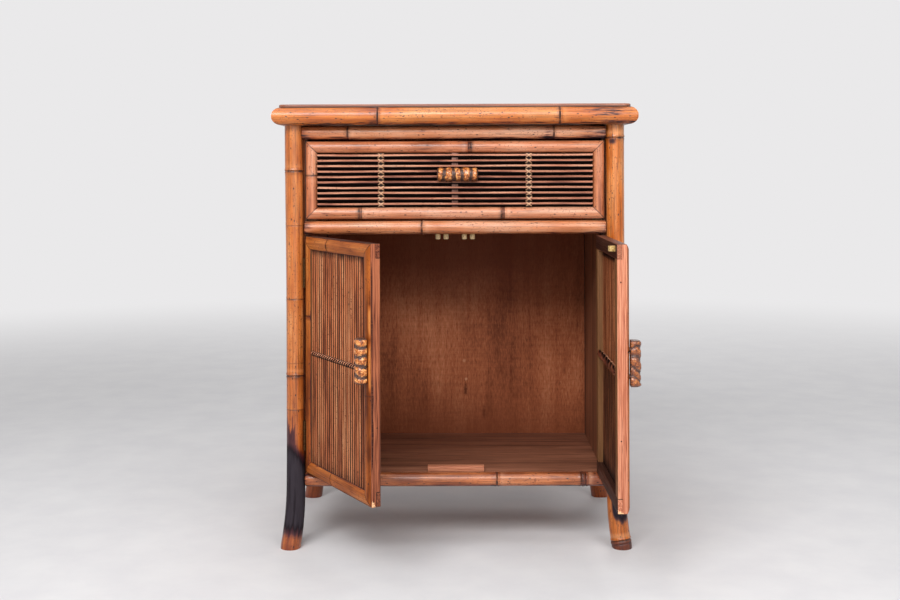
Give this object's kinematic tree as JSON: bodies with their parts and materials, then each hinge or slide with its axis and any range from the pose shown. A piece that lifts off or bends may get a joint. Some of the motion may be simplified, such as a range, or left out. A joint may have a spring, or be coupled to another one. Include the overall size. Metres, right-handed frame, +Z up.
{
  "type": "bamboo storage side table",
  "caption": "Storage side table of bamboo poles and cane, with a drawer over a cupboard closed by a pair of reed-filled doors that swing on pin hinges and catch on sprung rollers.",
  "frame": {"origin": "on the floor, at the centre of the rectangle between the four posts", "axes": "+Z up, front with drawer and doors faces -Y, +X to the right seen from the front"},
  "size_m": [0.6114, 0.6138, 0.746],
  "materials": {
    "bamboo_pole": "glossy amber varnish over bamboo with thin dark node rings",
    "bamboo_split": "glossy amber varnish over half-split bamboo",
    "cane_reed": "satin varnish over round reeds",
    "cane_rod": "satin varnish over thin cane rods",
    "cane_lash": "satin cane strands",
    "bamboo_root": "glossy yellow bamboo root with dark brown grooves",
    "frame_wood": "satin reddish hardwood",
    "case_board": "dull dark stained plywood",
    "top_veneer": "satin pinkish brown veneer sheet",
    "brass": "aged satin brass",
    "screw_steel": "dull steel",
    "roller_ivory": "aged ivory plastic"
  },
  "bodies": {
    "cabinet": {"front_post_left": "bamboo_pole", "front_post_right": "bamboo_pole", "rear_post_left": "bamboo_pole", "rear_post_right": "bamboo_pole", "apron_rail": "bamboo_pole", "divider_rail": "bamboo_pole", "bottom_rail": "bamboo_pole", "rear_rails": "bamboo_pole", "side_rails": "bamboo_pole", "top_front_pole": "bamboo_pole", "top_rear_pole": "bamboo_pole", "top_side_poles": "bamboo_pole", "top_sheet": "top_veneer", "top_board": "case_board", "case_cleats": "frame_wood", "side_panel_left": "case_board", "side_panel_right": "case_board", "side_reeds_left": "cane_reed", "side_reeds_right": "cane_reed", "side_lashings": "cane_lash", "back_panel": "case_board", "bottom_board": "case_board", "door_stop": "frame_wood", "drawer_runners": "frame_wood", "catch_batten": "frame_wood", "catch_plates": "brass", "hinge_post_leaves": "brass", "hinge_pins": "brass", "hinge_post_screws": "screw_steel"},
    "drawer": {"drawer_front_board": "case_board", "drawer_trim": "bamboo_split", "drawer_rods": "cane_rod", "drawer_slats": "frame_wood", "drawer_lashings": "cane_lash", "drawer_handle": "bamboo_root", "drawer_handle_screws": "screw_steel", "drawer_sides": "frame_wood", "drawer_back": "frame_wood", "drawer_bottom": "case_board"},
    "left_door": {"left_door_frame": "frame_wood", "left_door_trim": "bamboo_split", "left_door_reeds": "cane_reed", "left_door_lashing": "cane_lash", "left_door_handle": "bamboo_root", "left_door_strike": "brass", "left_door_hinge_leaves": "brass", "left_door_screws": "screw_steel"},
    "right_door": {"right_door_frame": "frame_wood", "right_door_trim": "bamboo_split", "right_door_reeds": "cane_reed", "right_door_lashing": "cane_lash", "right_door_handle": "bamboo_root", "right_door_strike": "brass", "right_door_hinge_leaves": "brass", "right_door_screws": "screw_steel"},
    "left_roller_outer": {"left_catch_roller_outer": "roller_ivory"},
    "left_roller_inner": {"left_catch_roller_inner": "roller_ivory"},
    "right_roller_inner": {"right_catch_roller_inner": "roller_ivory"},
    "right_roller_outer": {"right_catch_roller_outer": "roller_ivory"}
  },
  "joints": [
    {"name": "drawer_slide", "type": "slide", "parent": "cabinet", "child": "drawer", "axis": [0, -1, 0], "range_m": [0, 0.23]},
    {"name": "left_door_hinge", "type": "hinge", "parent": "cabinet", "child": "left_door", "pos_m": [-0.2544, -0.164, 0.326], "axis": [0, 0, -1], "range_deg": [-60.1, 49.9]},
    {"name": "right_door_hinge", "type": "hinge", "parent": "cabinet", "child": "right_door", "pos_m": [0.2544, -0.164, 0.326], "axis": [0, 0, 1], "range_deg": [-90.7, 19.3]},
    {"name": "left_roller_outer_give", "type": "slide", "parent": "cabinet", "child": "left_roller_outer", "axis": [-1, 0, 0], "range_m": [0, 0.0015], "stiffness_N_per_m": 300},
    {"name": "left_roller_inner_give", "type": "slide", "parent": "cabinet", "child": "left_roller_inner", "axis": [1, 0, 0], "range_m": [0, 0.0015], "stiffness_N_per_m": 300},
    {"name": "right_roller_inner_give", "type": "slide", "parent": "cabinet", "child": "right_roller_inner", "axis": [-1, 0, 0], "range_m": [0, 0.0015], "stiffness_N_per_m": 300},
    {"name": "right_roller_outer_give", "type": "slide", "parent": "cabinet", "child": "right_roller_outer", "axis": [1, 0, 0], "range_m": [0, 0.0015], "stiffness_N_per_m": 300}
  ]
}
